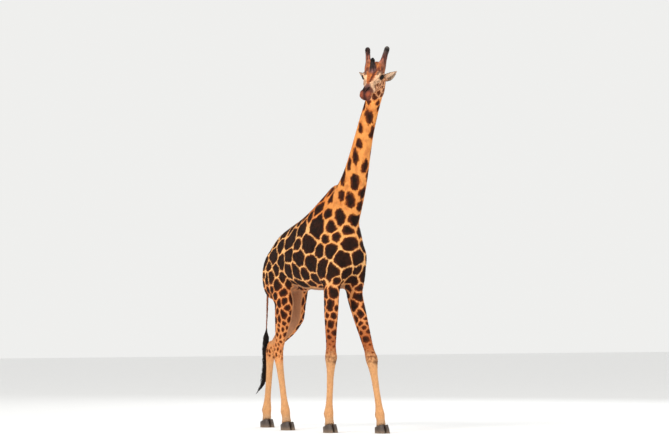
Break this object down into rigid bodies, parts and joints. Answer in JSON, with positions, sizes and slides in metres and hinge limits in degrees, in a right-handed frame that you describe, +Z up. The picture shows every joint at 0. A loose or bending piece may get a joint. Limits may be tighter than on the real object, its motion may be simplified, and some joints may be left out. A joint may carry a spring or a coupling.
{
  "type": "giraffe",
  "caption": "Life-size standing bull giraffe in mid step, head turned to its right, with patched coat, horns, mane and tail tassel.",
  "frame": {"origin": "on the ground, under the middle of the animal's bounding box", "axes": "+X the way the trunk faces, +Y the animal's left, +Z up"},
  "size_m": [3.7272, 0.8706, 5.3714],
  "materials": {
    "coat": "short flat coat, orange net between near-black brown patches",
    "stocking": "short flat coat, plain pinkish cream",
    "hoof": "dull grey-brown horn",
    "horn_skin": "red-brown haired skin with black tips",
    "ear": "cream hair with a dark edge",
    "eye": "wet near-black",
    "mane_hair": "short upright maroon-brown hair",
    "tail_hair": "long coarse black hair"
  },
  "bodies": {
    "root": {"head": "coat", "neck": "coat", "trunk": "coat", "foreleg_left_upper": "coat", "foreleg_right_upper": "coat", "hindleg_left_upper": "coat", "hindleg_right_upper": "coat", "foreleg_left_cannon": "stocking", "foreleg_right_cannon": "stocking", "hindleg_left_cannon": "stocking", "hindleg_right_cannon": "stocking", "hoof_fore_left_a": "hoof", "hoof_fore_left_b": "hoof", "hoof_fore_right_a": "hoof", "hoof_fore_right_b": "hoof", "hoof_hind_left_a": "hoof", "hoof_hind_left_b": "hoof", "hoof_hind_right_a": "hoof", "hoof_hind_right_b": "hoof", "horn_left": "horn_skin", "horn_right": "horn_skin", "horn_middle": "horn_skin", "ear_left": "ear", "ear_right": "ear", "eye_left": "eye", "eye_right": "eye", "mane": "mane_hair", "tail_dock": "coat", "tail_tuft": "tail_hair"}
  },
  "joints": []
}
